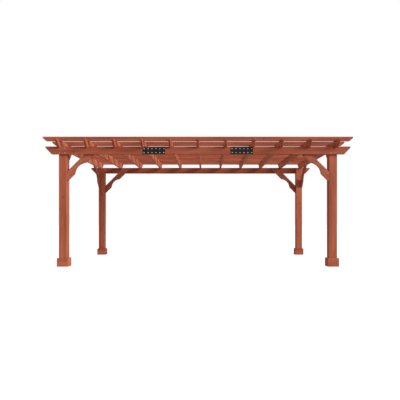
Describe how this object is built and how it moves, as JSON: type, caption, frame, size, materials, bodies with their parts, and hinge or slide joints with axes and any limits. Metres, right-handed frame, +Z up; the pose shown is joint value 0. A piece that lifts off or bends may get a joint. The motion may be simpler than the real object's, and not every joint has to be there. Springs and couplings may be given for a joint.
{
  "type": "wooden pergola",
  "caption": "Open timber pergola: square posts with base trims and arched knee braces carry spliced beams, notched rafters and a layer of purlins.",
  "frame": {"origin": "on the ground at the middle of the plan", "axes": "+X along the beams to the right seen from the front, +Y to the back, +Z up"},
  "size_m": [5.536, 3.319, 2.325],
  "materials": {
    "stained_timber": "red-brown stained cedar, matt, with visible grain",
    "black_steel": "black powder coat, satin"
  },
  "bodies": {
    "root": {"back_beam_left": "stained_timber", "back_beam_middle": "stained_timber", "back_beam_right": "stained_timber", "base_trim_back_left": "stained_timber", "base_trim_back_right": "stained_timber", "base_trim_front_left": "stained_timber", "base_trim_front_right": "stained_timber", "beam_brace_back_left": "stained_timber", "beam_brace_back_right": "stained_timber", "beam_brace_front_left": "stained_timber", "beam_brace_front_right": "stained_timber", "front_beam_left": "stained_timber", "front_beam_middle": "stained_timber", "front_beam_right": "stained_timber", "post_back_left": "stained_timber", "post_back_right": "stained_timber", "post_front_left": "stained_timber", "post_front_right": "stained_timber", "purlin_1": "stained_timber", "purlin_2": "stained_timber", "purlin_3": "stained_timber", "purlin_4": "stained_timber", "purlin_5": "stained_timber", "purlin_6": "stained_timber", "purlin_7": "stained_timber", "rafter_01": "stained_timber", "rafter_02": "stained_timber", "rafter_03": "stained_timber", "rafter_04": "stained_timber", "rafter_05": "stained_timber", "rafter_06": "stained_timber", "rafter_07": "stained_timber", "rafter_08": "stained_timber", "rafter_09": "stained_timber", "rafter_10": "stained_timber", "rafter_11": "stained_timber", "rafter_brace_back_left": "stained_timber", "rafter_brace_back_right": "stained_timber", "rafter_brace_front_left": "stained_timber", "rafter_brace_front_right": "stained_timber", "splice_plate_back_left": "black_steel", "splice_plate_back_right": "black_steel", "splice_plate_front_left": "black_steel", "splice_plate_front_right": "black_steel"}
  },
  "joints": []
}
